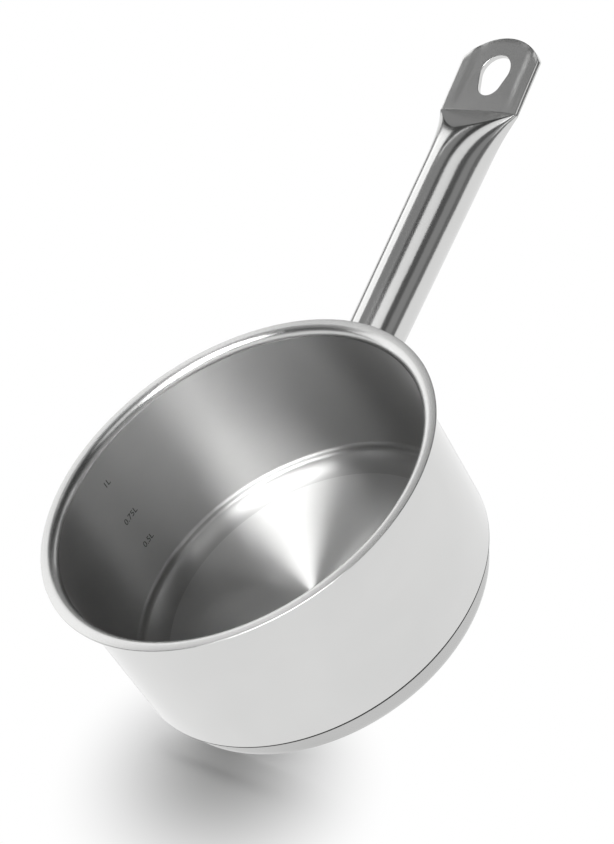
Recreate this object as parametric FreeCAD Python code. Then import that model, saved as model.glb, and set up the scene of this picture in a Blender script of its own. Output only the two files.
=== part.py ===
import FreeCAD, Part
import math
import os

from FreeCAD import Matrix, Placement, Vector

# Milk pan: a deep-drawn steel vessel on a capsule base, with one hollow tube handle.
# Millimetres. Origin at the centre of the base, +Z up, handle along +X.

# Vessel
inner_radius = 80.0
vessel_depth = 75.8
vessel_sheet = 0.6
floor_radius = 66.4
floor_corner = 12.0
ledge_round = 1.2
lip_width = 6.5
lip_bend = 3.8

# Capsule base: aluminium core in a pressed steel cap
core_thickness = 6.0
cap_sheet = 0.6
cap_corner = 6.0
cap_rise = 4.9
cap_fit = 0.1
seam_gap = 0.3
core_edge_share = 0.6
rest_ring_width = 12.0
recess_depth = 0.4
recess_step = 3.0

# Handle tube, measured along its axis from the vessel's wall
lip_clearance = 2.2
handle_rise_deg = 16.4
mouth_radius = 12.2
swell_radius = 13.1
tube_wall = 1.2
grip_length = 86.0
flare_length = 29.6
ridge_half_width = 18.2
ridge_rise = 12.0
ridge_drop = 5.6
ridge_lean_deg = 30.0
shoulder_run = 5.0
side_angle_deg = 24.0
flare_steps = 4
flare_width_power = 2.2
flare_rise_power = 3.0
flare_drop_power = 2.2
flare_lean_power = 2.0

# Flattened end of the handle, with its hanging hole
tab_width = 42.6
tab_side = 26.0
tab_end_rise = 10.6
tab_tilt_deg = 19.2
tab_lift = 1.2
pinch_share = 0.1
hole_near = 14.4
hole_spacing = 5.8
hole_small_radius = 6.5
hole_large_radius = 8.4

# Bracket cup inside the tube's mouth, its plug welds and the weld round the mouth
bracket_sheet = 1.5
bracket_depth = 14.0
bracket_clearance = 0.1
weld_radius = 2.0
weld_circle_share = 0.55
weld_count = 3
bead_leg = 0.6

# How far a cutting tool runs past what it cuts
overrun = 10.0

# Heights and radii that follow from the sizes above
wall_radius = inner_radius + vessel_sheet
rim_radius = inner_radius + lip_width
corner_radius = floor_corner + vessel_sheet
base_top = cap_sheet + core_thickness
floor_height = base_top + vessel_sheet
rim_height = floor_height + vessel_depth
cap_height = base_top + cap_rise
ledge_height = cap_height + seam_gap
corner_centre = (floor_radius, base_top + corner_radius)
bend_centre = (inner_radius + lip_bend, rim_height - lip_bend)
lip_edge = rim_radius - vessel_sheet / 2
ledge_centre = (wall_radius - ledge_round, ledge_height + ledge_round)

# The handle's directions: along the tube, and square to it in the upright plane
handle_rise = math.radians(handle_rise_deg)
tab_tilt = math.radians(tab_tilt_deg)
side_angle = math.radians(side_angle_deg)
ridge_lean = math.radians(ridge_lean_deg)
across = Vector(0, 1, 0)
upright = Vector(0, 0, 1)
tube_along = Vector(math.cos(handle_rise), 0, math.sin(handle_rise))
tube_up = Vector(-math.sin(handle_rise), 0, math.cos(handle_rise))
tab_along = Vector(math.cos(tab_tilt), 0, math.sin(tab_tilt))
tab_normal = Vector(-math.sin(tab_tilt), 0, math.cos(tab_tilt))

# The tube's top passes under the lip's edge with the lip clearance to spare
handle_drop = (vessel_sheet + lip_clearance + mouth_radius / math.cos(handle_rise)
               + (rim_radius - wall_radius) * math.tan(handle_rise))
handle_root = Vector(wall_radius, 0, rim_height - handle_drop)
crease_along = grip_length + flare_length + shoulder_run


def line(start, end):
    """Straight edge between two points given as radius and height."""
    return Part.LineSegment(Vector(start[0], 0, start[1]), Vector(end[0], 0, end[1])).toShape()


def arc(centre, radius, start_deg, end_deg):
    """Round edge in the upright plane, from one angle to another."""
    points = []
    for degrees in (start_deg, (start_deg + end_deg) / 2, end_deg):
        angle = math.radians(degrees)
        points.append(Vector(centre[0] + radius * math.cos(angle), 0, centre[1] + radius * math.sin(angle)))
    return Part.Arc(*points).toShape()


def revolve(edges):
    """Solid of revolution about the pan's axis from a closed profile."""
    profile = Part.Wire(Part.__sortEdges__(edges))
    return Part.Face(profile).revolve(Vector(), upright, 360)


def corner_reach(height, radius):
    """How far out the floor's rounded corner, of this radius, has come at a height."""
    depth = corner_centre[1] - height
    return corner_centre[0] + math.sqrt(radius ** 2 - depth ** 2)


def corner_edge(height, radius):
    """The floor's rounded corner, of this radius, up to a height."""
    turn = math.degrees(math.acos((corner_centre[1] - height) / radius))
    return arc(corner_centre, radius, 270, 270 + turn)


def floor_edges(inset):
    """One face of the vessel, drawn in from its outside, from the floor's middle to the lip."""
    floor = base_top + inset
    ledge = ledge_height + inset
    corner = corner_radius - inset
    return [
        line((0, floor), (floor_radius, floor)),
        corner_edge(ledge, corner),
        line((corner_reach(ledge, corner), ledge), (ledge_centre[0], ledge)),
        arc(ledge_centre, ledge_round - inset, 270, 360),
        line((wall_radius - inset, ledge_centre[1]), (wall_radius - inset, bend_centre[1])),
        arc(bend_centre, lip_bend - vessel_sheet + inset, 180, 90),
        line((bend_centre[0], rim_height - vessel_sheet + inset), (lip_edge, rim_height - vessel_sheet + inset)),
    ]


def vessel():
    """Drawn cup with a ledge over the base's seam and a flared pouring lip with a rounded edge."""
    edges = floor_edges(0) + floor_edges(vessel_sheet)
    edges.append(arc((lip_edge, rim_height - vessel_sheet / 2), vessel_sheet / 2, -90, 90))
    edges.append(line((0, floor_height), (0, base_top)))
    return revolve(edges)


def vessel_envelope():
    """The vessel's outside as a filled body, to shape what seats against it."""
    edges = floor_edges(0)
    edges.append(line((lip_edge, rim_height - vessel_sheet), (lip_edge, rim_height)))
    edges.append(line((lip_edge, rim_height), (0, rim_height)))
    edges.append(line((0, rim_height), (0, base_top)))
    return revolve(edges)


# The cap's side wall ends against the floor's rounded corner, under the ledge
cap_inside = corner_reach(cap_height, corner_radius) + cap_fit
cap_radius = cap_inside + cap_sheet
cap_flat = cap_radius - cap_corner
recess_radius = cap_flat - rest_ring_width


def cap_floor_edges(lift):
    """Underside of the base at a lift from its outer face: recess, step and rest ring."""
    return [
        line((0, recess_depth + lift), (recess_radius - recess_step, recess_depth + lift)),
        line((recess_radius - recess_step, recess_depth + lift), (recess_radius, lift)),
        line((recess_radius, lift), (cap_flat, lift)),
        arc((cap_flat, cap_corner), cap_corner - lift, 270, 360),
    ]


def base_cap():
    """Pressed steel cap that carries the pan on a flat rest ring."""
    edges = cap_floor_edges(0) + cap_floor_edges(cap_sheet)
    edges.append(line((0, recess_depth), (0, recess_depth + cap_sheet)))
    edges.append(line((cap_radius, cap_corner), (cap_radius, cap_height)))
    edges.append(line((cap_radius, cap_height), (cap_inside, cap_height)))
    edges.append(line((cap_inside, cap_height), (cap_inside, cap_corner)))
    return revolve(edges)


def core_disc():
    """Aluminium heat spreader that fills the cap under the vessel and up round its corner."""
    edge_height = base_top + core_edge_share * cap_rise
    edge_radius = corner_reach(edge_height, corner_radius)
    edges = cap_floor_edges(cap_sheet)
    edges.append(line((cap_inside, cap_corner), (cap_inside, edge_height)))
    edges.append(line((cap_inside, edge_height), (edge_radius, edge_height)))
    edges.append(corner_edge(edge_height, corner_radius))
    edges.append(line((floor_radius, base_top), (0, base_top)))
    edges.append(line((0, base_top), (0, recess_depth + cap_sheet)))
    return revolve(edges)


def place(point, along):
    """Placement with local X across the handle, local Y square to it and local Z along it."""
    normal = along.cross(across)
    return Placement(Matrix(across.x, normal.x, along.x, point.x,
                            across.y, normal.y, along.y, point.y,
                            across.z, normal.z, along.z, point.z,
                            0, 0, 0, 1))


def tube_point(distance):
    """Point on the tube's axis at a distance from the vessel's wall."""
    return handle_root + tube_along * distance


def tube_radius(distance):
    """Radius of the slightly swelling round stretch of the tube."""
    return mouth_radius + (swell_radius - mouth_radius) * distance / grip_length


def oval(distance, half_width, rise, drop, lean):
    """Closed section of the tube: an upper and a lower half of the same width, its top leaning to the wall."""
    unit_circle = Part.Circle(Vector(), upright, 1)
    stretches = (
        (0, side_angle, rise), (side_angle, math.pi - side_angle, rise), (math.pi - side_angle, math.pi, rise),
        (math.pi, math.pi + side_angle, drop), (math.pi + side_angle, 2 * math.pi - side_angle, drop),
        (2 * math.pi - side_angle, 2 * math.pi, drop),
    )
    edges = []
    for start, end, height in stretches:
        stretch = Matrix()
        stretch.scale(half_width, height / math.cos(lean), 1)
        edges.append(Part.ArcOfCircle(unit_circle, start, end).toShape().transformGeometry(stretch))
    section = Part.Wire(edges)
    section.Placement = place(tube_point(distance), tube_along * math.cos(lean) + tube_up * math.sin(lean))
    return section


def flat_section(half_width, half_thickness):
    """Closed section of the flattened end at the crease: two flats with rounded folds."""
    flat = half_width - half_thickness
    bend = half_thickness * math.sqrt(0.5)

    def quarter(start, middle, end):
        return Part.Arc(Vector(*start, 0), Vector(*middle, 0), Vector(*end, 0)).toShape()

    def straight(start, end):
        return Part.LineSegment(Vector(*start, 0), Vector(*end, 0)).toShape()

    edges = [
        quarter((half_width, 0), (flat + bend, bend), (flat, half_thickness)),
        straight((flat, half_thickness), (-flat, half_thickness)),
        quarter((-flat, half_thickness), (-flat - bend, bend), (-half_width, 0)),
        quarter((-half_width, 0), (-flat - bend, -bend), (-flat, -half_thickness)),
        straight((-flat, -half_thickness), (flat, -half_thickness)),
        quarter((flat, -half_thickness), (flat + bend, -bend), (half_width, 0)),
    ]
    section = Part.Wire(edges)
    section.Placement = place(crease_point, tab_along)
    return section


crease_point = tube_point(crease_along) + tab_normal * tab_lift


def tube_body(inset, end_half_width, end_half_thickness):
    """Filled tube from inside the wall to the crease, drawn in by an inset all round."""
    back = Vector(tube_point(-overrun))
    cone = Part.makeCone(tube_radius(-overrun) - inset, swell_radius - inset, grip_length + overrun, back, tube_along)
    sections = []
    for step in range(flare_steps + 1):
        share = step / flare_steps
        half_width = swell_radius + (ridge_half_width - swell_radius) * share ** flare_width_power
        rise = swell_radius + (ridge_rise - swell_radius) * share ** flare_rise_power
        drop = swell_radius + (ridge_drop - swell_radius) * share ** flare_drop_power
        lean = ridge_lean * share ** flare_lean_power
        distance = grip_length + flare_length * share
        sections.append(oval(distance, half_width - inset, rise - inset, drop - inset, lean))
    flare = Part.makeLoft(sections, True, False)
    shoulder = Part.makeLoft([sections[-1], flat_section(end_half_width, end_half_thickness)], True, True)
    return cone.fuse([flare, shoulder])


def tab_plate():
    """Flattened end with rounded folds along its sides and a bowed, sheared tip."""
    half_width = tab_width / 2
    tip = tab_side + tab_end_rise
    bar = Part.Face(flat_section(half_width, tube_wall)).extrude(tab_along * tip)
    reach = half_width + overrun

    def at(out, side):
        return crease_point + tab_along * out + across * side

    outline = Part.Wire([
        Part.LineSegment(at(-overrun, -reach), at(-overrun, reach)).toShape(),
        Part.LineSegment(at(-overrun, reach), at(tab_side, reach)).toShape(),
        Part.LineSegment(at(tab_side, reach), at(tab_side, half_width)).toShape(),
        Part.Arc(at(tab_side, half_width), at(tip, 0), at(tab_side, -half_width)).toShape(),
        Part.LineSegment(at(tab_side, -half_width), at(tab_side, -reach)).toShape(),
        Part.LineSegment(at(tab_side, -reach), at(-overrun, -reach)).toShape(),
    ])
    stamp = Part.Face(outline)
    stamp.translate(tab_normal * -overrun)
    return bar.common(stamp.extrude(tab_normal * 2 * overrun))


def hanging_hole():
    """Egg-shaped hole through the tab: two circles joined by their common tangents."""
    lean = math.asin((hole_large_radius - hole_small_radius) / hole_spacing)

    def on(centre, radius, angle):
        return (crease_point + tab_along * (centre + radius * math.cos(angle))
                + across * radius * math.sin(angle))

    far = hole_near + hole_spacing
    turn = math.pi / 2 + lean
    outline = Part.Wire([
        Part.Arc(on(far, hole_large_radius, turn), on(far, hole_large_radius, 0),
                 on(far, hole_large_radius, -turn)).toShape(),
        Part.LineSegment(on(far, hole_large_radius, -turn), on(hole_near, hole_small_radius, -turn)).toShape(),
        Part.Arc(on(hole_near, hole_small_radius, -turn), on(hole_near, hole_small_radius, math.pi),
                 on(hole_near, hole_small_radius, turn)).toShape(),
        Part.LineSegment(on(hole_near, hole_small_radius, turn), on(far, hole_large_radius, turn)).toShape(),
    ])
    punch = Part.Face(outline)
    punch.translate(tab_normal * -overrun)
    return punch.extrude(tab_normal * 2 * overrun)


def handle_tube(envelope):
    """One hollow tube, coped to the wall, flattened at its end into the hanging tab."""
    outside = tube_body(0, tab_width / 2, tube_wall).fuse(tab_plate())
    bore = tube_body(tube_wall, tab_width / 2 - 2 * tube_wall, pinch_share * tube_wall)
    return outside.cut([bore, hanging_hole(), envelope]).removeSplitter()


def bracket_radius():
    """Outer radius of the bracket cup, a close fit in the tube's bore at the mouth."""
    return tube_radius(0) - tube_wall - bracket_clearance


def weld_plugs(outer_radius):
    """Round bars square to the wall, where the bracket's plug welds go."""
    circle = weld_circle_share * (bracket_radius() - bracket_sheet)
    bars = []
    for number in range(weld_count):
        angle = math.pi / 2 + number * 2 * math.pi / weld_count
        foot = Vector(0, circle * math.cos(angle), handle_root.z + circle * math.sin(angle))
        bars.append(Part.makeCylinder(weld_radius, outer_radius, foot, Vector(1, 0, 0)))
    return bars


def saddle(radius):
    """Round body about the pan's axis, as high as the vessel, to face what sits on the wall."""
    return Part.makeCylinder(radius, rim_height + overrun)


def handle_bracket():
    """Pressed cup: its bottom lies on the wall, its collar stands in the tube's mouth."""
    back = tube_point(-overrun)
    collar = Part.makeCylinder(bracket_radius(), bracket_depth + overrun, back, tube_along)
    hollow = Part.makeCylinder(bracket_radius() - bracket_sheet, bracket_depth + 2 * overrun, back, tube_along)
    cup = collar.cut(hollow.cut(saddle(wall_radius + bracket_sheet)))
    return cup.cut([saddle(wall_radius)] + weld_plugs(wall_radius + bracket_sheet + overrun))


def plug_welds():
    """Weld metal in the bracket's holes, flush with the cup's bottom."""
    ring = saddle(wall_radius + bracket_sheet).cut(saddle(wall_radius))
    return Part.makeCompound([bar.common(ring) for bar in weld_plugs(wall_radius + bracket_sheet)])


def mouth_weld(envelope):
    """Weld bead round the tube's mouth, in the corner between tube and wall."""
    def ring(out, leg):
        distance = out / math.cos(handle_rise)
        width = tube_radius(distance) + leg
        unit_circle = Part.Circle(Vector(), upright, 1).toShape()
        stretch = Matrix()
        stretch.scale(width, width / math.cos(handle_rise), 1)
        section = Part.Wire([unit_circle.transformGeometry(stretch)])
        section.Placement = place(tube_point(distance), Vector(1, 0, 0))
        return section

    bead = Part.makeLoft([ring(-bead_leg, 2 * bead_leg), ring(2 * bead_leg, -bead_leg)], True, True)
    core = Part.makeCone(tube_radius(-overrun), tube_radius(overrun), 2 * overrun, tube_point(-overrun), tube_along)
    return bead.cut([core, envelope])


envelope = vessel_envelope()
pieces = {
    "vessel": vessel(),
    "core_disc": core_disc(),
    "base_cap": base_cap(),
    "handle_tube": handle_tube(envelope),
    "handle_bracket": handle_bracket(),
    "plug_welds": plug_welds(),
    "mouth_weld": mouth_weld(envelope),
}

os.makedirs("parts", exist_ok=True)
for name, shape in pieces.items():
    shape.exportStep(os.path.join("parts", name + ".step"))
    box = shape.BoundBox
    print(name, "solids", len(shape.Solids), "valid", shape.isValid(), "volume", round(shape.Volume, 1),
          "box", [round(v, 2) for v in (box.XMin, box.YMin, box.ZMin, box.XMax, box.YMax, box.ZMax)])
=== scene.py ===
"""Milk pan: polished steel vessel, capped base, flattened tube handle, studio and camera."""

import math

import bmesh
import bpy
from bpy.props import FloatProperty, FloatVectorProperty, IntProperty, PointerProperty
from mathutils import Matrix, Quaternion, Vector


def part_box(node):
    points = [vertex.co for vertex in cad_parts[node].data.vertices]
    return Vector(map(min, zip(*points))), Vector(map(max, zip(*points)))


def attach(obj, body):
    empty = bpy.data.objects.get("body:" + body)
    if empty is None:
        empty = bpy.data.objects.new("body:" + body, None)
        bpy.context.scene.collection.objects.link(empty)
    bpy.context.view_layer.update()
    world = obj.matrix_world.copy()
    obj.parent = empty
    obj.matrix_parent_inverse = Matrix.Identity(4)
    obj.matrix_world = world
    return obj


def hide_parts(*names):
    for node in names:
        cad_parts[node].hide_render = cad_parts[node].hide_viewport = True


bl_info = {
    "name": "Milk pan",
    "version": (1, 0, 0),
    "blender": (4, 5, 0),
    "location": "View3D > Sidebar > Milk pan",
    "description": "Models a polished steel milk pan round its packed frame",
    "category": "Object",
}

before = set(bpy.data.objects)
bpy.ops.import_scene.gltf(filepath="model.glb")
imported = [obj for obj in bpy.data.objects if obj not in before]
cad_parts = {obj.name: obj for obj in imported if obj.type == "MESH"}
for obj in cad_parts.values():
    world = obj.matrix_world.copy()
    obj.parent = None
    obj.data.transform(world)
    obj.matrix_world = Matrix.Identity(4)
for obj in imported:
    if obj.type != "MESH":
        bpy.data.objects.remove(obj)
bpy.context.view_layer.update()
VESSEL_LOW, VESSEL_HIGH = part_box("vessel")
CAP_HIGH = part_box("base_cap")[1]

MM = 0.001
BODY = "root"
ACROSS = Vector((0, 1, 0))
UP = Vector((0, 0, 1))


# Properties

def size(name, description, millimetres):
    """A length, written in millimetres and kept in metres."""
    return FloatProperty(name=name, description=description, default=millimetres * MM, unit="LENGTH",
                         precision=5)


def angle(name, description, degrees):
    """An angle, written in degrees and kept in radians."""
    return FloatProperty(name=name, description=description, default=math.radians(degrees), unit="ROTATION")


def share(name, description, value):
    """A plain number: a share, or the power of a curve."""
    return FloatProperty(name=name, description=description, default=value, subtype="FACTOR")


def colour(name, description, value):
    """A linear colour."""
    return FloatVectorProperty(name=name, description=description, default=value, size=3, subtype="COLOR")


def count(name, description, value):
    """A whole number of steps or sides."""
    return IntProperty(name=name, description=description, default=value, subtype="UNSIGNED")


class VesselSizes(bpy.types.PropertyGroup):
    """The drawn cup, from its floor to its pouring lip."""

    inner_radius: size("Inner radius", "Radius of the straight wall inside", 80.0)
    sheet: size("Sheet", "Thickness of the drawn steel", 0.6)
    floor_radius: size("Floor radius", "Radius of the flat floor", 66.4)
    floor_corner: size("Floor corner", "Inside radius between floor and ledge", 12.0)
    ledge_round: size("Ledge round", "Outside radius where the ledge turns up into the wall", 1.8)
    ledge_edge: size("Ledge edge", "Softness of the ledge's inner edge", 1.0)
    ledge_turn: size("Ledge turn", "Inside radius where the ledge turns up into the wall", 1.6)
    seam_gap: size("Seam gap", "Open gap between base cap and ledge", 0.8)
    lip_width: size("Lip width", "How far the lip stands out from the inner wall", 6.5)
    lip_bend: size("Lip bend", "Inside radius of the lip's turn", 3.8)
    lip_edge: size("Lip edge", "Radius of the lip's trimmed edge", 0.28)
    steps: count("Steps", "Steps round the vessel", 256)


class BaseSizes(bpy.types.PropertyGroup):
    """The pressed cap under the vessel."""

    sheet: size("Sheet", "Thickness of the cap's steel", 0.6)
    corner: size("Corner", "Outside radius of the cap's lower edge", 6.0)
    edge: size("Edge", "Softness of the cap's upper edge", 0.2)
    rest_ring: size("Rest ring", "Width of the ring that the pan stands on", 12.0)
    recess_depth: size("Recess depth", "Height of the underside's middle above the ring", 0.4)
    recess_step: size("Recess step", "Width of the slope between ring and middle", 3.0)


class HandleSizes(bpy.types.PropertyGroup):
    """The tube handle, its ridge and its flattened hanging tab."""

    root_drop: size("Root drop", "Depth of the tube's axis below the rim at the wall", 17.254)
    rise: angle("Rise", "Angle of the tube above level", 16.4)
    mouth_radius: size("Mouth radius", "Radius of the tube at the wall", 12.2)
    swell_radius: size("Swell radius", "Radius of the tube where the flare starts", 13.1)
    grip_length: size("Grip length", "Length of the round tube", 86.0)
    crease_along: size("Crease along", "Distance of the crease from the wall, along the tube", 120.6)
    facet_slope: angle("Facet slope", "Slope of the facet between the ridge and the crease", 33.0)
    ridge_run: size("Ridge run", "Distance from the ridge's nose to the crease", 12.6)
    ridge_power: share("Ridge power", "How the ridge runs out into the folds", 1.2)
    flare_width_power: share("Flare width power", "How late the flare widens", 2.4)
    flare_top_power: share("Flare top power", "How late the top comes down", 2.4)
    flare_under_power: share("Flare under power", "How late the underside comes up", 2.6)
    fold_power: share("Fold power", "How close the tube's sides crowd into the tab's folds", 2.0)
    crease_bow: size("Crease bow", "How far the crease bows towards the tip", 0.8)
    tab_tilt: angle("Tab tilt", "Angle of the tab above level", 19.2)
    tab_lift: size("Tab lift", "Height of the tab's middle above the tube's axis", 1.2)
    tab_width: size("Tab width", "Width of the tab", 42.6)
    tab_thickness: size("Tab thickness", "Thickness of the flattened tube", 2.4)
    tab_side: size("Tab side", "Length of the tab's straight sides", 26.0)
    tab_end_rise: size("Tab end rise", "How far the bowed end stands out", 10.6)
    tab_swell: size("Tab swell", "How much thicker the tab is beside its folds, on each side", 0.16)
    swell_start: size("Swell start", "Distance from the middle where the tab starts to thicken", 12.5)
    swell_end: size("Swell end", "Distance from the middle where it has thickened", 17.0)
    tip_edge: size("Tip edge", "Softness of the cut end", 0.4)
    hole_near: size("Hole near", "Distance of the hole's narrow end from the crease", 14.4)
    hole_spacing: size("Hole spacing", "Distance between the hole's two centres", 5.8)
    hole_small_radius: size("Hole small radius", "Radius of the hole's narrow end", 6.0)
    hole_large_radius: size("Hole large radius", "Radius of the hole's wide end", 7.7)
    hole_edge: size("Hole edge", "Softness of the hole's edges", 0.28)
    bead: size("Bead", "Leg of the weld bead round the mouth", 0.6)
    ripple: share("Ripple", "Share of the bead that its ripples take", 0.15)
    ripples: count("Ripples", "Ripples round the bead", 64)
    sides: count("Sides", "Sides of the tube", 240)


class MarkSizes(bpy.types.PropertyGroup):
    """The litre marks on the inner wall."""

    text_size: size("Text size", "Size of the figures", 4.2)
    azimuth: angle("Azimuth", "Turn of the marks about the pan's axis", 97.5)
    heights: FloatVectorProperty(
        name="Heights", description="Heights of the marks, from the top one down",
        default=(67.0 * MM, 46.0 * MM, 30.0 * MM), size=3, unit="LENGTH")
    proud: size("Proud", "How far the figures stand off the wall", 0.05)


class Finishes(bpy.types.PropertyGroup):
    """Colours of the steels."""

    polished: colour("Polished steel", "Bright steel of wall, lip and handle", (0.66, 0.66, 0.655))
    satin: colour("Satin steel", "Brushed finish of the inside wall", (0.51, 0.51, 0.507))
    turned: colour("Turned steel", "Turned finish of the inside floor", (0.62, 0.62, 0.616))
    base: colour("Base steel", "Turned finish of the base cap and the bracket", (0.53, 0.53, 0.526))
    weld: colour("Weld metal", "Bare weld", (0.45, 0.44, 0.43))
    spreader: colour("Heat spreader", "Aluminium of the core", (0.72, 0.73, 0.74))
    mark: colour("Marks", "Etched figures", (0.05, 0.05, 0.05))
    # The seam colour is painted shade: a near-black that stands in for the shadow in the seam over the base
    # cap
    seam: colour("Seam", "Discoloured metal in the seam over the base cap", (0.03, 0.03, 0.03))


class StudioSettings(bpy.types.PropertyGroup):
    """Camera and floor."""

    focal_pixels: FloatProperty(
        name="Focal length in pixels", description="Focal length in the 614 by 844 frame", default=2000.0)
    frame_height: IntProperty(name="Frame height", description="Height of the image in pixels", default=844)
    sensor: size("Sensor", "Long side of the sensor", 36.0)
    aim: FloatVectorProperty(name="Aim", description="Point that the camera looks at",
                             default=(31.66 * MM, -16.73 * MM, 84.2 * MM), size=3, unit="LENGTH")
    distance: size("Distance", "Camera to aim", 786.4)
    azimuth: angle("Azimuth", "Turn of the camera about the pan", -120.95)
    elevation: angle("Elevation", "Height of the camera over the pan's rim plane", 36.99)
    roll: angle("Roll", "Turn of the camera about its line of sight", -32.07)
    look_down: angle("Look down", "Angle at which the camera looks down on the floor", 12.0)
    floor_size: size("Floor size", "Side of the floor", 6000.0)


# Meshes

ARC_STEPS = 10
MERGE = 1e-6


def revolve(corners, steps):
    """Spin a profile of (radius, height, rounding) corners about the pan's axis."""
    bm = bmesh.new()
    verts = [bm.verts.new((radius, 0, height)) for radius, height, _ in corners]
    for pair in zip(verts, verts[1:]):
        bm.edges.new(pair)
    for vert, (_, _, rounding) in zip(verts, corners):
        if rounding:
            bmesh.ops.bevel(bm, geom=[vert], offset=rounding, offset_type="OFFSET", segments=ARC_STEPS,
                            profile=0.5, affect="VERTICES", material=-1)
    bmesh.ops.spin(bm, geom=bm.verts[:] + bm.edges[:], cent=(0, 0, 0), axis=UP, angle=math.tau,
                   steps=steps, use_merge=True)
    close(bm)
    return bm


def close(bm):
    """Merge seams and poles, then turn every face outwards and shade it smooth."""
    bmesh.ops.remove_doubles(bm, verts=bm.verts, dist=MERGE)
    bmesh.ops.dissolve_degenerate(bm, edges=bm.edges, dist=MERGE)
    bmesh.ops.recalc_face_normals(bm, faces=bm.faces)
    for face in bm.faces:
        face.smooth = True


def unit_tube(sides, rings):
    """A tube of radius 1 whose rings stand 1 apart, to be shaped ring by ring."""
    bm = bmesh.new()
    bmesh.ops.create_circle(bm, cap_ends=False, radius=1, segments=sides)
    ring = bm.edges[:]
    for _ in range(1, rings):
        grown = bmesh.ops.extrude_edge_only(bm, edges=ring)["geom"]
        verts = [part for part in grown if isinstance(part, bmesh.types.BMVert)]
        bmesh.ops.translate(bm, verts=verts, vec=UP)
        fresh = set(verts)
        ring = [part for part in grown if isinstance(part, bmesh.types.BMEdge) and set(part.verts) <= fresh]
    return bm


def shape_tube(bm, stations):
    """Put each ring of a unit tube where its station says."""
    for vert in bm.verts:
        place, value = stations[round(vert.co.z)]
        vert.co = place(value, math.atan2(vert.co.y, vert.co.x))


def new_object(name, bm, materials=()):
    """Make an object of a finished mesh and put it in the scene."""
    mesh = bpy.data.meshes.new(name)
    bm.to_mesh(mesh)
    bm.free()
    for material in materials:
        mesh.materials.append(material)
    made = bpy.data.objects.new(name, mesh)
    bpy.context.scene.collection.objects.link(made)
    return made


def add_piece(name, bm, materials, slot, *nodes):
    """Make a piece of a finished mesh and tie it to the frame."""
    piece = new_object(name, bm, materials)
    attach(piece, BODY)
    if nodes:
        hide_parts(*nodes)


def spread(steps):
    """Even shares from just after nought up to one."""
    return [step / steps for step in range(1, steps + 1)]


def mix(start, end, amount):
    """The value or point that lies amount of the way from start to end."""
    return start + (end - start) * amount


def soft_step(amount):
    """Nought up to one, with a soft start and end."""
    amount = min(1, max(0, amount))
    return amount * amount * (3 - 2 * amount)


# Vessel and base

# Places of the vessel's finishes in its list of materials, after the polished one
SATIN = 1
LIP = 2
# The seam's place holds painted shade, dark where shadow falls in the seam over the base cap
SEAM_SHADE = 3
TURNED = 4

# How far a normal leans before its face counts as facing inwards or up, and as bent under
FACING = 0.2
BENT = 0.05

# Share of the recess's slope that its roundings take
RECESS_ROUND_SHARE = 1 / 3


def corner_cut(depth, radius):
    """Tangent length and reach of a corner arc that ends depth below its centre."""
    turn = math.acos(depth / radius)
    return radius * math.tan(turn / 2), radius * math.sin(turn)


def vessel_profile(sizes):
    """Corners of the sheet's section: floor, ledge, wall and lip inside, then back outside."""
    rim = VESSEL_HIGH.z
    base_top = VESSEL_LOW.z
    ledge = CAP_HIGH.z + sizes.seam_gap
    wall = sizes.inner_radius + sizes.sheet
    lip = sizes.inner_radius + sizes.lip_width
    outer_corner = sizes.floor_corner + sizes.sheet
    centre = base_top + outer_corner
    inner_cut, inner_reach = corner_cut(centre - ledge - sizes.sheet, sizes.floor_corner)
    outer_cut, outer_reach = corner_cut(centre - ledge, outer_corner)
    inner_round = inner_cut - sizes.ledge_edge - sizes.lip_edge
    return [
        (0, base_top + sizes.sheet, 0),
        (sizes.floor_radius + inner_cut, base_top + sizes.sheet, inner_round),
        (sizes.floor_radius + inner_reach, ledge + sizes.sheet, sizes.ledge_edge),
        (sizes.inner_radius, ledge + sizes.sheet, sizes.ledge_turn),
        (sizes.inner_radius, rim, sizes.lip_bend),
        (lip, rim, sizes.lip_edge),
        (lip, rim - sizes.sheet, sizes.lip_edge),
        (wall, rim - sizes.sheet, sizes.lip_bend - sizes.sheet),
        (wall, ledge, sizes.ledge_round),
        (sizes.floor_radius + outer_reach, ledge, 0),
        (sizes.floor_radius + outer_cut, base_top, outer_cut - sizes.lip_edge),
        (0, base_top, 0),
    ]


def make_vessel(scene):
    """Spin the cup, give its inside and its lip their own finishes, and paint the seam under its ledge dark
    as painted shade.
    """
    sizes = scene.pan_vessel
    bm = revolve(vessel_profile(sizes), sizes.steps)
    ledge = CAP_HIGH.z + sizes.seam_gap
    for face in bm.faces:
        middle = face.calc_center_median()
        outward = Vector((middle.x, middle.y, 0)).normalized()
        if face.normal.z > FACING or face.normal.dot(outward) < -FACING:
            face.material_index = SATIN if middle.xy.length < sizes.inner_radius + MERGE else LIP
            if middle.xy.length < sizes.floor_radius:
                face.material_index = TURNED
        # Faces under the ledge and on its lower rounding get painted shade for the shadow in the seam
        elif face.normal.z < -BENT and ledge - MERGE < middle.z < ledge + sizes.ledge_round:
            face.material_index = SEAM_SHADE
    materials = [
        polished_steel(scene), satin_steel(scene), lip_steel(scene), painted_seam_shade(scene), turned_steel(scene)]
    add_piece("drawn_cup", bm, materials, "vessel_steel", "vessel")


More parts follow.
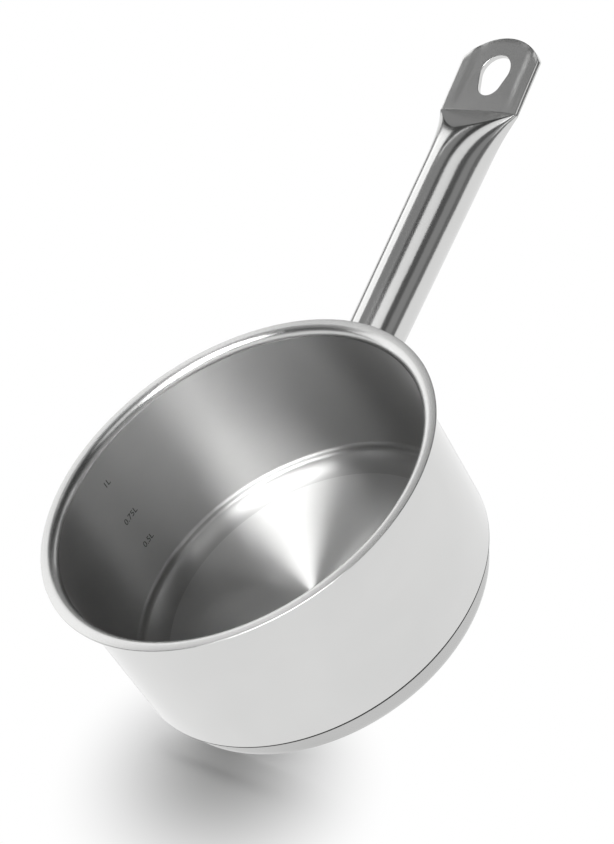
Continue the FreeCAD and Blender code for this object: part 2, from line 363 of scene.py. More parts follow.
def make_base(scene):
    """Spin the pressed cap with its rest ring and raised middle."""
    sizes = scene.pan_base
    radius = CAP_HIGH.y
    top = CAP_HIGH.z
    inside = radius - sizes.sheet
    ring = radius - sizes.corner - sizes.rest_ring
    middle = ring - sizes.recess_step
    slope_round = sizes.recess_step * RECESS_ROUND_SHARE
    corners = [
        (0, sizes.recess_depth, 0),
        (middle, sizes.recess_depth, slope_round),
        (ring, 0, slope_round),
        (radius, 0, sizes.corner),
        (radius, top, sizes.edge),
        (inside, top, sizes.edge),
        (inside, sizes.sheet, sizes.corner - sizes.sheet),
        (ring, sizes.sheet, 0),
        (middle, sizes.recess_depth + sizes.sheet, 0),
        (0, sizes.recess_depth + sizes.sheet, 0),
    ]
    bm = revolve(corners, scene.pan_vessel.steps)
    add_piece("pressed_cap", bm, [base_steel(scene)], "cap_steel", "base_cap")


# Handle

GRIP_RINGS = 8
FLARE_RINGS = 20
FACET_RINGS = 20
TAB_RINGS = 9
TIP_RINGS = 6
BEAD_RINGS = 6
RIPPLE_SIDES = 8

# Share of the facet and of the tab that lies between the crease and the rings that hold it sharp
CREASE_SHARE = 0.012

# Smoothing of the ridge: the ring to each side where it stops, its passes, and each pass's share
RIDGE_REACH = 3
RIDGE_PASSES = 4
RIDGE_SMOOTH_SHARE = 0.5

# The tab has thickened to the full after one part in this many of its length
SWELL_HASTE = 3

# Where the punch's rounding stops, and how far an edge of the tab turns before it counts as sharp
PUNCH_STOP = math.radians(66)
SHARP_TURN = math.radians(21)


class HandleForm:
    """Places on the handle's skin, from the coped mouth to the cut tip."""

    def __init__(self, scene):
        sizes = scene.pan_handle
        self.sizes = sizes
        self.wall = scene.pan_vessel.inner_radius + scene.pan_vessel.sheet
        self.root = Vector((self.wall, 0, VESSEL_HIGH.z - sizes.root_drop))
        self.along = Vector((math.cos(sizes.rise), 0, math.sin(sizes.rise)))
        self.up = Vector((-math.sin(sizes.rise), 0, math.cos(sizes.rise)))
        self.tab_along = Vector((math.cos(sizes.tab_tilt), 0, math.sin(sizes.tab_tilt)))
        self.tab_up = Vector((-math.sin(sizes.tab_tilt), 0, math.cos(sizes.tab_tilt)))
        self.crease = self.root + self.along * sizes.crease_along + self.tab_up * sizes.tab_lift
        self.half_width = sizes.tab_width / 2
        self.half_thickness = sizes.tab_thickness / 2

    def on_tube(self, along, across, up):
        """A point in the tube's own directions."""
        return self.root + self.along * along + ACROSS * across + self.up * up

    def mouth(self, growth, turn):
        """A point of the coped mouth, on the vessel's wall."""
        radius = self.sizes.mouth_radius + growth
        across = radius * math.cos(turn)
        up = radius * math.sin(turn)
        reach = math.sqrt(self.wall ** 2 - across ** 2) - self.wall
        along = (reach + up * math.sin(self.sizes.rise)) / math.cos(self.sizes.rise)
        return self.on_tube(along, across, up)

    def mouth_middle(self, _, turn):
        """The middle of the mouth, which closes the tube's end against the wall."""
        return self.on_tube(0, 0, 0)

    def grip(self, amount, turn):
        """A point of the round grip, which swells a little towards the flare."""
        sizes = self.sizes
        start = 2 * sizes.mouth_radius * math.tan(sizes.rise)
        along = mix(start, sizes.grip_length, amount)
        radius = mix(sizes.mouth_radius, sizes.swell_radius, along / sizes.grip_length)
        return self.on_tube(along, radius * math.cos(turn), radius * math.sin(turn))

    def flat(self, turn):
        """Across and up of the flat section, with round folds at its sides."""
        thick = self.half_thickness
        fold_centre = self.half_width - thick
        fold = thick * math.pi / 2
        side = math.copysign(1, math.cos(turn))
        level = math.copysign(1, math.sin(turn))
        lean = math.asin(min(1, abs(math.sin(turn))))
        run = (fold + fold_centre) * (2 * lean / math.pi) ** self.sizes.fold_power
        if run > fold:
            return side * (fold_centre + fold - run), level * thick
        bend = run / thick
        return side * (fold_centre + thick * math.cos(bend)), level * thick * math.sin(bend)

    def crease_point(self, turn):
        """A point of the flat section where the tab starts."""
        across, up = self.flat(turn)
        return self.crease + self.tab_along * self.bow(across) + ACROSS * across + self.tab_up * up

    def bow(self, across):
        """How far the bowed crease lies ahead of a straight one."""
        return self.sizes.crease_bow * (1 - (across / self.half_width) ** 2)

    def ridge_point(self, turn):
        """A point of the ridge over the tab's top side, or of the crease on its underside."""
        sizes = self.sizes
        across, up = self.flat(turn)
        crease = self.crease_point(turn)
        if up <= 0:
            return crease
        bell = math.cos(math.pi / 2 * min(1, abs(across) / self.half_width)) ** sizes.ridge_power
        run = sizes.ridge_run * bell
        return crease - self.along * run + self.up * run * math.tan(sizes.facet_slope)

    def flare(self, amount, turn):
        """A point between the round grip and the ridge, the folds or the tab's underside."""
        sizes = self.sizes
        offset = self.ridge_point(turn) - self.root
        along = mix(sizes.grip_length, offset.dot(self.along), amount)
        widening = amount ** sizes.flare_width_power
        across = mix(sizes.swell_radius * math.cos(turn), offset.dot(ACROSS), widening)
        topness = (1 + math.sin(turn)) / 2
        power = mix(sizes.flare_under_power, sizes.flare_top_power, topness)
        up = mix(sizes.swell_radius * math.sin(turn), offset.dot(self.up), amount ** power)
        return self.on_tube(along, across, up)

    def facet(self, amount, turn):
        """A point of the flat facet between the ridge and the crease."""
        return mix(self.ridge_point(turn), self.crease_point(turn), amount)

    def tab_reach(self, across):
        """Length of the tab at a distance from its middle, out to the bowed end."""
        sizes = self.sizes
        radius = (self.half_width ** 2 + sizes.tab_end_rise ** 2) / (2 * sizes.tab_end_rise)
        return sizes.tab_side + sizes.tab_end_rise - radius + math.sqrt(radius ** 2 - across ** 2)

    def tab(self, amount, turn, shorten=0, thin=1):
        """A point of the tab, which is a little thicker beside its folds."""
        sizes = self.sizes
        across, up = self.flat(turn)
        reach = (abs(across) - sizes.swell_start) / (sizes.swell_end - sizes.swell_start)
        swell = sizes.tab_swell * soft_step(reach) * soft_step(SWELL_HASTE * amount)
        up *= thin * (1 + swell / self.half_thickness)
        reach = mix(self.bow(across), self.tab_reach(across) - sizes.tip_edge, amount) + shorten
        return self.crease + self.tab_along * reach + ACROSS * across + self.tab_up * up

    def tip(self, amount, turn):
        """A point of the cut end's softened edge."""
        bend = amount * math.pi / 2
        edge = self.sizes.tip_edge
        thin = 1 - edge * (1 - math.cos(bend)) / self.half_thickness
        return self.tab(1, turn, edge * math.sin(bend), thin)

    def tip_middle(self, _, turn):
        """The middle line that closes the cut end."""
        return self.tab(1, turn, self.sizes.tip_edge, 0)

    def hole(self, spot, turn):
        """A point of the punch for the hanging hole: spot holds its growth and height."""
        sizes = self.sizes
        growth, height = spot
        small = sizes.hole_small_radius
        large = sizes.hole_large_radius
        far = sizes.hole_spacing * math.cos(turn) + large > small
        radius = (large if far else small) + growth
        along = sizes.hole_near + (sizes.hole_spacing if far else 0) + radius * math.cos(turn)
        return self.crease + self.tab_along * along + ACROSS * radius * math.sin(turn) + self.tab_up * height

    def bead(self, amount, turn):
        """A point of the weld bead's section, from the wall over to the tube."""
        leg = self.sizes.bead * (1 + self.sizes.ripple * math.sin(turn * self.sizes.ripples))
        on_wall = self.mouth(leg, turn)
        on_tube = self.mouth(0, turn) + self.along * leg
        outward = ACROSS * math.cos(turn) + self.up * math.sin(turn) + self.along
        return mix(on_wall, on_tube, amount) + outward * leg * amount * (1 - amount) / 2

    def bead_root(self, _, turn):
        """The corner that the bead fills, between wall and tube."""
        return self.mouth(0, turn)


def punch(form):
    """The tool that cuts the hanging hole, flared so that it rounds the hole's edges."""
    edge = form.sizes.hole_edge
    spots = []
    for step in range(ARC_STEPS + 1):
        bend = PUNCH_STOP * step / ARC_STEPS
        growth = edge * (1 - math.cos(bend))
        spots.append((growth, form.half_thickness - edge + edge * math.sin(bend)))
    spots.append((edge + form.half_thickness, 2 * form.half_thickness))
    mirrored = [(growth, -height) for growth, height in reversed(spots)]
    stations = [(form.hole, spot) for spot in mirrored + spots]
    bm = unit_tube(form.sizes.sides, len(stations))
    shape_tube(bm, stations)
    bmesh.ops.holes_fill(bm, edges=bm.edges, sides=0)
    close(bm)
    return bm


def cut_with(bm, tool):
    """Cut one closed mesh with another and give back what is left."""
    blank = new_object("cut_blank", bm)
    cutter = new_object("cut_tool", tool)
    cut = blank.modifiers.new("cut", "BOOLEAN")
    cut.operation = "DIFFERENCE"
    cut.solver = "EXACT"
    cut.object = cutter
    bpy.context.view_layer.update()
    result = bpy.data.meshes.new_from_object(blank.evaluated_get(bpy.context.evaluated_depsgraph_get()))
    left = bmesh.new()
    left.from_mesh(result)
    bpy.data.meshes.remove(result)
    for spent in (blank, cutter):
        mesh = spent.data
        bpy.data.objects.remove(spent)
        bpy.data.meshes.remove(mesh)
    return left


def sharpen(bm, form):
    """Mark the tab's sharp edges, so that its flat faces stay flat beside them."""
    for edge in bm.edges:
        along = min((vert.co - form.crease).dot(form.tab_along) for vert in edge.verts)
        edge.smooth = along <= form.half_thickness or edge.calc_face_angle(0) < SHARP_TURN


def make_handle(scene):
    """Shape the tube from its coped mouth to its flattened tab, soften the ridge and cut the hole."""
    form = HandleForm(scene)
    sizes = form.sizes
    stations = [(form.mouth_middle, 0), (form.mouth, 0), (form.grip, 0)]
    stations += [(form.grip, amount) for amount in spread(GRIP_RINGS)]
    stations += [(form.flare, amount) for amount in spread(FLARE_RINGS)]
    ridge_level = len(stations) - 1
    stations += [(form.facet, amount) for amount in spread(FACET_RINGS)]
    stations.insert(-1, (form.facet, 1 - CREASE_SHARE))
    stations += [(form.tab, CREASE_SHARE)]
    stations += [(form.tab, amount) for amount in spread(TAB_RINGS)]
    stations += [(form.tip, amount) for amount in spread(TIP_RINGS)]
    stations += [(form.tip_middle, 0)]
    bm = unit_tube(sizes.sides, len(stations))
    ridge = [vert for vert in bm.verts
             if abs(round(vert.co.z) - ridge_level) < RIDGE_REACH and vert.co.y > 0]
    shape_tube(bm, stations)
    for _ in range(RIDGE_PASSES):
        bmesh.ops.smooth_vert(bm, verts=ridge, factor=RIDGE_SMOOTH_SHARE,
                              use_axis_x=True, use_axis_y=True, use_axis_z=True)
    close(bm)
    bm = cut_with(bm, punch(form))
    close(bm)
    sharpen(bm, form)
    add_piece("tube_handle", bm, [handle_steel(scene)], "handle_steel", "handle_tube")


def make_weld(scene):
    """Lay the rippled bead round the tube's mouth."""
    form = HandleForm(scene)
    stations = [(form.bead_root, 0), (form.bead, 0)]
    stations += [(form.bead, amount) for amount in spread(BEAD_RINGS)]
    stations += [(form.bead_root, 0)]
    bm = unit_tube(form.sizes.ripples * RIPPLE_SIDES, len(stations))
    shape_tube(bm, stations)
    close(bm)
    add_piece("mouth_bead", bm, [weld_metal(scene)], "weld_metal", "mouth_weld")


# Marks

MARK_WORDS = ("1L", "0.75L", "0.5L")


def make_marks(scene):
    """Set the litre figures, thicken them and bend them onto the inner wall."""
    sizes = scene.pan_marks
    wall = scene.pan_vessel.inner_radius
    bm = bmesh.new()
    for words, height in zip(MARK_WORDS, sizes.heights):
        curve = bpy.data.curves.new("mark_text", "FONT")
        curve.body = words
        curve.size = sizes.text_size
        curve.extrude = 2 * sizes.proud
        curve.align_x = "CENTER"
        curve.align_y = "CENTER"
        holder = bpy.data.objects.new("mark_text", curve)
        mesh = bpy.data.meshes.new_from_object(holder)
        before = set(bm.verts)
        bm.from_mesh(mesh)
        fresh = [vert for vert in bm.verts if vert not in before]
        bmesh.ops.translate(bm, verts=fresh, vec=ACROSS * height)
        bpy.data.objects.remove(holder)
        bpy.data.curves.remove(curve)
        bpy.data.meshes.remove(mesh)
    for vert in bm.verts:
        turn = sizes.azimuth - vert.co.x / wall
        radius = wall + sizes.proud - vert.co.z
        vert.co = (radius * math.cos(turn), radius * math.sin(turn), vert.co.y)
    bmesh.ops.remove_doubles(bm, verts=bm.verts, dist=MERGE)
    bmesh.ops.recalc_face_normals(bm, faces=bm.faces)
    add_piece("litre_marks", bm, [mark_ink(scene)], "vessel_steel")


# Materials

# Darkest and lightest tone of a metal, as shares of its colour
TONE_SHARES = (0.95, 1.05)

# Places of the colour sockets on a Mix node
MIX_COLOURS = (6, 7)
MIX_RESULT = 2

# Turn of the gloss across the brushed lines, as a share of a full turn
ACROSS_LINES_SHARE = 0.25

# Depths of the handle's buffing lines, of its unevenness and of the weld's grain
BUFF_DEPTH = 0.0004 * MM
UNEVEN_DEPTH = 0.12 * MM
GRAIN_DEPTH = 0.02 * MM

# Share to which the handle's buffing lines are stretched along the tube
BUFF_SHARES = (0.02, 1.0, 1.0)


def new_group(name, inlet, value, outlet):
    """A shader node group with one float input and one float output; gives the group and its two ends."""
    group = bpy.data.node_groups.new(name, "ShaderNodeTree")
    socket = group.interface.new_socket(inlet, in_out="INPUT", socket_type="NodeSocketFloat")
    socket.default_value = value
    group.interface.new_socket(outlet, in_out="OUTPUT", socket_type="NodeSocketFloat")
    return group, group.nodes.new("NodeGroupInput"), group.nodes.new("NodeGroupOutput")


def add_node(tree, kind, settings=None, **inputs):
    """Add a node, set its properties and fill its inputs."""
    node = tree.nodes.new("ShaderNode" + kind)
    for key, value in (settings or {}).items():
        setattr(node, key, value)
    fill(tree, node, **inputs)
    return node


def fill(tree, node, **inputs):
    """Set a node's inputs by name, or link them to other sockets."""
    for key, value in inputs.items():
        put(tree, node.inputs[key.replace("_", " ")], value)


def put(tree, socket, value):
    """Link a socket to another, or set its value."""
    if isinstance(value, bpy.types.NodeSocket):
        tree.links.new(value, socket)
    else:
        socket.default_value = value


def math_node(tree, operation, *values):
    """A Math node's output for the given values or sockets."""
    node = tree.nodes.new("ShaderNodeMath")
    node.operation = operation
    for socket, value in zip(node.inputs, values):
        put(tree, socket, value)
    return node.outputs[0]


def turned_lines():
    """Group: fine lines round the pan's axis, left by turning and brushing."""
    name = "Turned lines"
    if name in bpy.data.node_groups:
        return bpy.data.node_groups[name]
    group, start, end = new_group(name, "Spacing", 0.4 * MM, "Line")
    place = add_node(group, "TexCoord").outputs["Object"]
    parts = add_node(group, "SeparateXYZ", Vector=place).outputs
    square = math_node(group, "MULTIPLY_ADD", parts["X"], parts["X"],
                       math_node(group, "MULTIPLY", parts["Y"], parts["Y"]))
    run = math_node(group, "ADD", math_node(group, "SQRT", square), parts["Z"])
    scaled = math_node(group, "DIVIDE", run, start.outputs["Spacing"])
    noise = add_node(group, "TexNoise", {"noise_dimensions": "1D"}, W=scaled, Scale=1.0, Detail=3.0,
                     Roughness=0.6)
    group.links.new(noise.outputs["Fac"], end.inputs["Line"])
    return group


def handling_haze():
    """Group: broad and fine patches of haze that wiping leaves on polished metal."""
    name = "Handling haze"
    if name in bpy.data.node_groups:
        return bpy.data.node_groups[name]
    group, start, end = new_group(name, "Scale", 30.0, "Haze")
    place = add_node(group, "TexCoord").outputs["Object"]
    noise = add_node(group, "TexNoise", Vector=place, Scale=start.outputs["Scale"], Detail=5.0,
                     Roughness=0.55, Distortion=0.4)
    group.links.new(noise.outputs["Fac"], end.inputs["Haze"])
    return group


def place_group(tree, group, **inputs):
    """Place a node group in a material and fill its inputs."""
    return add_node(tree, "Group", {"node_tree": group}, **inputs).outputs[0]


def new_material(name):
    """A fresh material, its node tree and its shader."""
    material = bpy.data.materials.new(name)
    material.use_nodes = True
    return material, material.node_tree, material.node_tree.nodes["Principled BSDF"]


def steel(name, tint, roughness, haze_scale):
    """A metal material whose roughness and tone vary with its haze; gives material, tree and shader."""
    material, tree, shader = new_material(name)
    haze = place_group(tree, handling_haze(), Scale=haze_scale)
    tone = add_node(tree, "Mix", {"data_type": "RGBA"}, Factor=haze)
    for place, tone_share in zip(MIX_COLOURS, TONE_SHARES):
        put(tree, tone.inputs[place], (*[min(1.0, tone_share * part) for part in tint], 1.0))
    rough = add_node(tree, "MapRange", Value=haze, To_Min=roughness[0], To_Max=roughness[1])
    fill(tree, shader, Metallic=1.0, Base_Color=tone.outputs[MIX_RESULT], Roughness=rough.outputs["Result"])
    return material, tree, shader


def lined_steel(name, tint, roughness, haze_scale, spacing, depth, stretch=0):
    """A metal bumped with turned lines, across which its gloss is stretched by a share."""
    material, tree, shader = steel(name, tint, roughness, haze_scale)
    line = place_group(tree, turned_lines(), Spacing=spacing)
    bump = add_node(tree, "Bump", Height=line, Strength=1.0, Distance=depth)
    fill(tree, shader, Normal=bump.outputs["Normal"])
    if stretch:
        brush_round(tree, shader, stretch)
    return material


def brush_round(tree, shader, amount):
    """Stretch the gloss across the turned lines."""
    place = add_node(tree, "TexCoord").outputs["Object"]
    axis = add_node(tree, "VectorMath", {"operation": "CROSS_PRODUCT"})
    put(tree, axis.inputs[0], (0, 0, 1))
    put(tree, axis.inputs[1], place)
    fill(tree, shader, Tangent=axis.outputs["Vector"], Anisotropic=amount,
         Anisotropic_Rotation=ACROSS_LINES_SHARE)


def polished_steel(scene):
    """Mirror finish of the outside wall."""
    return lined_steel("Polished steel", scene.pan_finish.polished, roughness=(0.07, 0.13), haze_scale=25.0,
                       spacing=0.8 * MM, depth=0.0006 * MM)


def turned_steel(scene):
    """Turned finish of the inside floor."""
    return lined_steel("Turned steel", scene.pan_finish.turned, roughness=(0.37, 0.42), haze_scale=40.0,
                       spacing=0.25 * MM, depth=0.002 * MM, stretch=1.0)


def satin_steel(scene):
    """Brushed finish of the inside wall."""
    return lined_steel("Satin steel", scene.pan_finish.satin, roughness=(0.31, 0.36), haze_scale=40.0,
                       spacing=0.25 * MM, depth=0.002 * MM, stretch=1.0)


def lip_steel(scene):
    """Finely brushed finish of the pouring lip."""
    return lined_steel("Lip steel", scene.pan_finish.polished, roughness=(0.23, 0.29), haze_scale=30.0,
                       spacing=0.3 * MM, depth=0.001 * MM, stretch=0.8)


def painted_seam_shade(scene):
    """Painted shade: dull dark metal that stands in for the shadow in the seam over the base cap."""
    material, _, _ = steel("Painted seam shade", scene.pan_finish.seam, roughness=(0.45, 0.6), haze_scale=200.0)
    return material


def base_steel(scene):
    """Turned finish of the base cap and the bracket."""
    return lined_steel("Base steel", scene.pan_finish.base, roughness=(0.16, 0.24), haze_scale=30.0,
                       spacing=0.3 * MM, depth=0.0015 * MM, stretch=0.6)


def handle_steel(scene):
    """Bright finish of the handle, buffed along the tube and a little uneven."""
    material, tree, shader = steel(
        "Handle steel", scene.pan_finish.polished, roughness=(0.14, 0.20), haze_scale=35.0)
    place = add_node(tree, "TexCoord").outputs["Object"]
    turn = (0.0, scene.pan_handle.rise, 0.0)
    mapping = add_node(tree, "Mapping", Vector=place, Rotation=turn, Scale=BUFF_SHARES)
    noise = add_node(tree, "TexNoise", Vector=mapping.outputs["Vector"], Scale=4000.0, Detail=2.0)
    uneven = place_group(tree, handling_haze(), Scale=45.0)
    wave = add_node(tree, "Bump", Height=uneven, Strength=1.0, Distance=UNEVEN_DEPTH)
    bump = add_node(tree, "Bump", Height=noise.outputs["Fac"], Strength=1.0, Distance=BUFF_DEPTH,
                    Normal=wave.outputs["Normal"])
    fill(tree, shader, Normal=bump.outputs["Normal"])
    return material


def weld_metal(scene):
    """Bare weld, a little grainy."""
    material, tree, shader = steel(
        "Weld metal", scene.pan_finish.weld, roughness=(0.30, 0.45), haze_scale=400.0)
    grain = place_group(tree, handling_haze(), Scale=3000.0)
    bump = add_node(tree, "Bump", Height=grain, Strength=1.0, Distance=GRAIN_DEPTH)
    fill(tree, shader, Normal=bump.outputs["Normal"])
    return material


def spreader_metal(scene):
    """Rolled aluminium of the heat spreader."""
    return lined_steel("Spreader metal", scene.pan_finish.spreader, roughness=(0.35, 0.45), haze_scale=120.0,
                       spacing=0.4 * MM, depth=0.003 * MM)


def mark_ink(scene):
    """Dark etched figures, uneven as etching is."""
    material, _, shader = steel(
        "Etched mark", scene.pan_finish.mark, roughness=(0.45, 0.6), haze_scale=900.0)
    shader.inputs["Metallic"].default_value = 0.3
    return material


def dress_inner_parts(scene):
    """Finish the CAD pieces that the pan hides."""
    finishes = {
        "core_disc": spreader_metal(scene),
        "handle_bracket": base_steel(scene),
        "plug_welds": weld_metal(scene),
    }
    for node, material in finishes.items():
        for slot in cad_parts[node].material_slots:
            slot.material = material


# Stage

NEAR_CLIP = 10 * MM

# Reach of each spot of painted shadow on the floor, sideways, forwards and up, and the reaches over which it
# fades out
UNDER_SHADE_SPOT = (32 * MM, 32 * MM, 1.0)
SHADOW_SPOT = (52 * MM, 58 * MM, 1.0)
SPOT_FADE = 1.3

# Where the spot of painted shadow lies from the point where the pan touches the floor
SHADOW_SIDEWAYS = 2 * MM
SHADOW_TOWARDS = 22 * MM

# Height of the overhead lamps above the rim, in metres
LAMP_CLEARANCE = 1.0

# Overhead lamps: name, place over the pan, width and length in metres, and radiance
OVERHEAD_LAMPS = (
    ("overhead_key", (-0.35, -0.295), 0.54, 1.11, 8.0),
    ("overhead_fill", (0.185, -0.62), 0.53, 0.86, 0.9),
)

# Cards, glowing sheets that only reflections see and that paint reflections into the steel: name, azimuths
# and elevations in degrees, distance in metres, and shade
CARDS = (
    ("front_card_low", (-140, -40), (-8, 0), 1.8, 0.12),
    ("front_card", (-140, -40), (0, 25), 1.8, 0.30),
    ("front_card_high", (-140, -40), (25, 42), 1.8, 0.10),
    ("back_card", (60, 120), (-4, 8), 2.0, 0.15),
    ("side_card", (12, 48.5), (-6, 34), 2.0, 0.28),
    ("nose_card", (48.5, 60), (5, 42), 2.0, 0.01),
    ("tab_card", (66, 114), (41, 84), 2.0, 0.27),
    ("flare_card", (20, 66), (56, 84), 2.0, 0.27),
    ("strip_card", (30, 66), (53, 56), 2.0, 1.4),
    ("near_card", (-140, -40), (-6.8, 9), 0.38, 0.17),
)


def camera_turn(studio):
    """The camera's rotation, from its azimuth, elevation and roll."""
    level = math.cos(studio.elevation)
    back = Vector((level * math.cos(studio.azimuth), level * math.sin(studio.azimuth),
                   math.sin(studio.elevation)))
    return back.to_track_quat("Z", "Y") @ Quaternion((0, 0, 1), studio.roll)


def add_camera(scene):
    """Set the camera where the photograph was taken from."""
    studio = scene.pan_studio
    data = bpy.data.cameras.new("camera")
    data.sensor_fit = "AUTO"
    data.sensor_width = studio.sensor / MM
    data.lens = data.sensor_width * studio.focal_pixels / studio.frame_height
    data.clip_start = NEAR_CLIP
    turn = camera_turn(studio)
    camera = bpy.data.objects.new("camera", data)
    camera.rotation_euler = turn.to_euler()
    camera.location = Vector(studio.aim) + turn @ Vector((0, 0, studio.distance))
    scene.collection.objects.link(camera)
    scene.camera = camera


def floor_place(scene):
    """Normal of the floor that the tipped pan stands on, and the point where they touch."""
    studio = scene.pan_studio
    turn = camera_turn(studio)
    normal = turn @ Vector((0, math.cos(studio.look_down), math.sin(studio.look_down)))
    base = bpy.data.objects["pressed_cap"].data
    touch = min((vert.co for vert in base.vertices), key=normal.dot)
    return normal, touch.copy()


def add_floor(scene):
    """The white floor under the tipped pan, which shows from its upper side only."""
    normal, touch = floor_place(scene)
    bm = bmesh.new()
    bmesh.ops.create_grid(bm, x_segments=1, y_segments=1, size=scene.pan_studio.floor_size / 2)
    bmesh.ops.rotate(bm, verts=bm.verts, cent=(0, 0, 0), matrix=normal.to_track_quat("Z", "Y").to_matrix())
    bmesh.ops.translate(bm, verts=bm.verts, vec=normal * normal.dot(touch))
    floor = new_object("studio_floor", bm, [floor_paint(scene, normal, touch)])


def floor_paint(scene, normal, touch):
    """Grey board that runs out to plain white away from the pan, see-through from behind: the grey is
    painted shadow round the pan's foot and takes the pan's real shadow too.
    """
    material, tree, shader = new_material("Studio floor")
    # The board's grey is painted shadow near the pan; the pan's real shadow falls on it as well
    fill(tree, shader, Base_Color=(0.4, 0.4, 0.4, 1.0), Roughness=0.32, Metallic=0.6)
    white = add_node(tree, "Emission", Color=(1.0, 1.0, 1.0, 1.0), Strength=1.0)
    clear = add_node(tree, "BsdfTransparent")
    sideways = camera_turn(scene.pan_studio) @ Vector((1, 0, 0))
    towards = sideways.cross(normal)
    turn = Matrix((sideways, towards, normal)).transposed().to_euler()
    under = touch.dot(normal) * normal
    before = touch + sideways * SHADOW_SIDEWAYS + towards * SHADOW_TOWARDS
    path = add_node(tree, "LightPath").outputs
    mirrored = math_node(tree, "ADD", path["Is Glossy Ray"], path["Is Transmission Ray"])
    # Mirrors see the painted shadow only under the pan, the camera sees it round the pan's foot
    mirrored = math_node(tree, "MULTIPLY", off_painted_shadow(tree, under, turn, UNDER_SHADE_SPOT), mirrored)
    plain = off_painted_shadow(tree, before, turn, SHADOW_SPOT)
    plain = math_node(tree, "MULTIPLY", plain, path["Is Camera Ray"])
    plain = math_node(tree, "MINIMUM", math_node(tree, "ADD", plain, mirrored), 1.0)
    lit = mix_shaders(tree, plain, shader.outputs[0], white.outputs[0])
    back = add_node(tree, "NewGeometry").outputs["Backfacing"]
    shown = mix_shaders(tree, back, lit, clear.outputs[0])
    tree.links.new(shown, tree.nodes["Material Output"].inputs["Surface"])
    return material


def off_painted_shadow(tree, place, turn, scale):
    """Nought on an oval spot of painted shadow on the floor, running up to one round it."""
    spot = add_node(tree, "Mapping", {"vector_type": "TEXTURE"}, Rotation=turn, Location=place, Scale=scale,
                    Vector=add_node(tree, "TexCoord").outputs["Object"])
    apart = add_node(tree, "VectorMath", {"operation": "LENGTH"}, Vector=spot.outputs["Vector"])
    fade = add_node(tree, "MapRange", {"interpolation_type": "SMOOTHSTEP"}, Value=apart.outputs["Value"],
                    From_Max=SPOT_FADE)
    return fade.outputs["Result"]


def seen_ray(tree):
    """One for rays from the camera, from mirrors and through glass, nought for the rays of soft light."""
    path = add_node(tree, "LightPath").outputs
    seen = math_node(tree, "ADD", path["Is Camera Ray"], path["Is Glossy Ray"])
    seen = math_node(tree, "ADD", seen, path["Is Transmission Ray"])
    return math_node(tree, "MINIMUM", seen, 1.0)


def mix_shaders(tree, factor, first, second):
    """Blend two shaders by a factor."""
    blend = add_node(tree, "MixShader")
    for socket, value in zip(blend.inputs, (factor, first, second)):
        tree.links.new(value, socket)
    return blend.outputs[0]


def add_world(scene):
    """Bright round the horizon and below, dark overhead."""
    world = bpy.data.worlds.new("studio")
    world.use_nodes = True
    tree = world.node_tree
    direction = add_node(tree, "TexCoord").outputs["Generated"]
    height = add_node(tree, "SeparateXYZ", Vector=direction).outputs["Z"]
    level = add_node(tree, "MapRange", {"interpolation_type": "SMOOTHSTEP"}, Value=height,
                     From_Min=0.12, From_Max=0.35, To_Min=1.0, To_Max=0.05)
    strength = add_node(tree, "MapRange", Value=seen_ray(tree), To_Min=0.3)
    fill(tree, tree.nodes["Background"], Color=level.outputs["Result"], Strength=strength.outputs["Result"])
    scene.world = world


def add_lamp(scene, name, place, aim, width, length, radiance):
    """A flat soft lamp at a place, facing an aim, as bright to look at as its radiance says."""
    data = bpy.data.lights.new(name, "AREA")
    data.shape = "RECTANGLE"
    data.size = width
    data.size_y = length
    data.energy = math.pi * width * length * radiance
    lamp = bpy.data.objects.new(name, data)
    lamp.location = place
    lamp.rotation_euler = (Vector(place) - Vector(aim)).to_track_quat("Z", "Y").to_euler()
    scene.collection.objects.link(lamp)


def around(azimuth, elevation, distance):
    """A point in a direction from the pan's middle, in degrees and metres."""
    turn = math.radians(azimuth)
    level = distance * math.cos(math.radians(elevation))
    height = distance * math.sin(math.radians(elevation))
    return Vector((level * math.cos(turn), level * math.sin(turn), height))


def add_glowing_card(name, azimuths, elevations, distance, shade):
    """A glowing card, grey or bright, that only reflections see, over a range of azimuths and elevations: a
    painted reflection in the steel, no lamp.
    """
    middle = math.radians(sum(azimuths) / 2)
    out = Vector((math.cos(middle), math.sin(middle), 0))
    side = UP.cross(out)
    half = distance * math.tan(math.radians(azimuths[1] - azimuths[0]) / 2)
    bm = bmesh.new()
    low, high = [distance * math.tan(math.radians(elevation)) for elevation in elevations]
    points = [out * distance + side * half * sign + UP * level
              for sign, level in ((-1, low), (1, low), (1, high), (-1, high))]
    bm.faces.new([bm.verts.new(point) for point in points])
    material, tree, shader = new_material(name)
    # The card glows with its shade, a painted reflection rather than a lamp
    fill(tree, shader, Base_Color=(0, 0, 0, 1), Specular_IOR_Level=0,
         Emission_Color=(shade, shade, shade, 1), Emission_Strength=1.0)
    card = new_object(name, bm, [material])
    card.visible_camera = False
    card.visible_diffuse = False
    card.visible_shadow = False


def make_stage(scene):
    """Camera, floor, world, lamps and glowing cards that paint reflections."""
    scene.view_settings.view_transform = "Standard"
    add_camera(scene)
    add_floor(scene)
    add_world(scene)
    lamp_height = VESSEL_HIGH.z + LAMP_CLEARANCE
    for name, (x, y), width, length, radiance in OVERHEAD_LAMPS:
        add_lamp(scene, name, (x, y, lamp_height), (x, y, 0), width, length, radiance)
    softbox_place = around(azimuth=83, elevation=31, distance=1.2)
    add_lamp(scene, "back_softbox", softbox_place, (0, 0, 0), width=1.25, length=0.66, radiance=1.3)
    for card in CARDS:
        add_glowing_card(*card)


# Operators and panel

class PAN_OT_vessel(bpy.types.Operator):
    """Make the drawn steel cup"""

    bl_idname = "pan.make_vessel"
    bl_label = "Make vessel"

    def execute(self, context):
        make_vessel(context.scene)
        return {"FINISHED"}


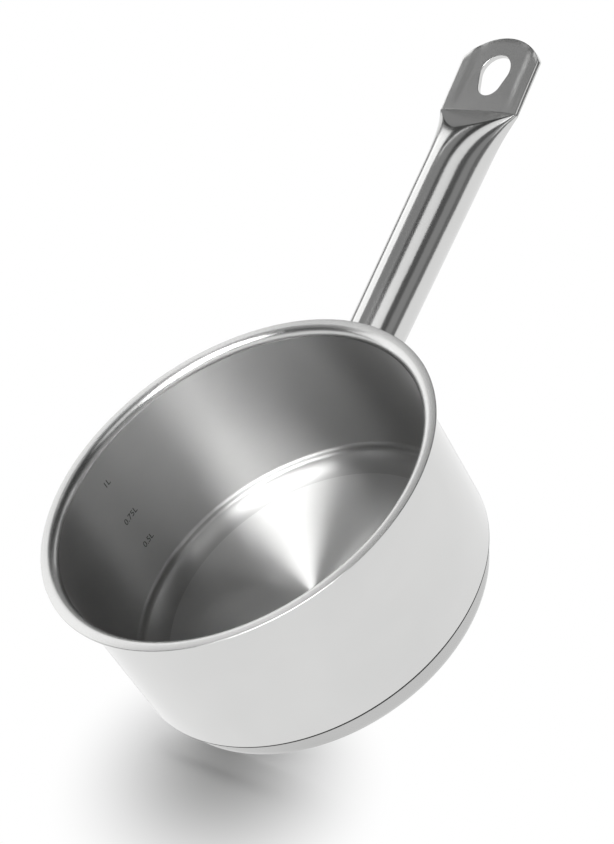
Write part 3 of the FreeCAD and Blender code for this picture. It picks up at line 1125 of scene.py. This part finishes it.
class PAN_OT_base(bpy.types.Operator):
    """Make the pressed base cap"""

    bl_idname = "pan.make_base"
    bl_label = "Make base"

    def execute(self, context):
        make_base(context.scene)
        return {"FINISHED"}


class PAN_OT_handle(bpy.types.Operator):
    """Make the tube handle with its hanging tab"""

    bl_idname = "pan.make_handle"
    bl_label = "Make handle"

    def execute(self, context):
        make_handle(context.scene)
        return {"FINISHED"}


class PAN_OT_weld(bpy.types.Operator):
    """Lay the weld bead round the handle's mouth"""

    bl_idname = "pan.make_weld"
    bl_label = "Make weld"

    def execute(self, context):
        make_weld(context.scene)
        return {"FINISHED"}


class PAN_OT_marks(bpy.types.Operator):
    """Set the litre marks on the inner wall"""

    bl_idname = "pan.make_marks"
    bl_label = "Make marks"

    def execute(self, context):
        make_marks(context.scene)
        return {"FINISHED"}


class PAN_OT_inner_parts(bpy.types.Operator):
    """Finish the hidden core, bracket and plug welds"""

    bl_idname = "pan.dress_inner_parts"
    bl_label = "Dress inner parts"

    def execute(self, context):
        dress_inner_parts(context.scene)
        return {"FINISHED"}


class PAN_OT_stage(bpy.types.Operator):
    """Set up the camera, the floor and the studio light"""

    bl_idname = "pan.make_stage"
    bl_label = "Make stage"

    def execute(self, context):
        make_stage(context.scene)
        return {"FINISHED"}


STEPS = (
    PAN_OT_vessel, PAN_OT_base, PAN_OT_handle, PAN_OT_weld, PAN_OT_marks, PAN_OT_inner_parts, PAN_OT_stage)


class PAN_PT_panel(bpy.types.Panel):
    """Lists the steps that make the pan"""

    bl_idname = "PAN_PT_panel"
    bl_label = "Milk pan"
    bl_space_type = "VIEW_3D"
    bl_region_type = "UI"
    bl_category = "Milk pan"

    def draw(self, context):
        for step in STEPS:
            self.layout.operator(step.bl_idname)


SETTINGS = {
    "pan_vessel": VesselSizes,
    "pan_base": BaseSizes,
    "pan_handle": HandleSizes,
    "pan_marks": MarkSizes,
    "pan_finish": Finishes,
    "pan_studio": StudioSettings,
}


def register():
    """Register the settings, the steps and the panel."""
    for name, group in SETTINGS.items():
        bpy.utils.register_class(group)
        setattr(bpy.types.Scene, name, PointerProperty(type=group))
    for step in STEPS:
        bpy.utils.register_class(step)
    bpy.utils.register_class(PAN_PT_panel)


def unregister():
    """Take out what register put in."""
    bpy.utils.unregister_class(PAN_PT_panel)
    for step in reversed(STEPS):
        bpy.utils.unregister_class(step)
    for name, group in SETTINGS.items():
        delattr(bpy.types.Scene, name)
        bpy.utils.unregister_class(group)


def main():
    """Make the pan step by step."""
    register()
    bpy.ops.pan.make_vessel()
    bpy.ops.pan.make_base()
    bpy.ops.pan.make_handle()
    bpy.ops.pan.make_weld()
    bpy.ops.pan.make_marks()
    bpy.ops.pan.dress_inner_parts()
    bpy.ops.pan.make_stage()


if __name__ == "__main__":
    main()
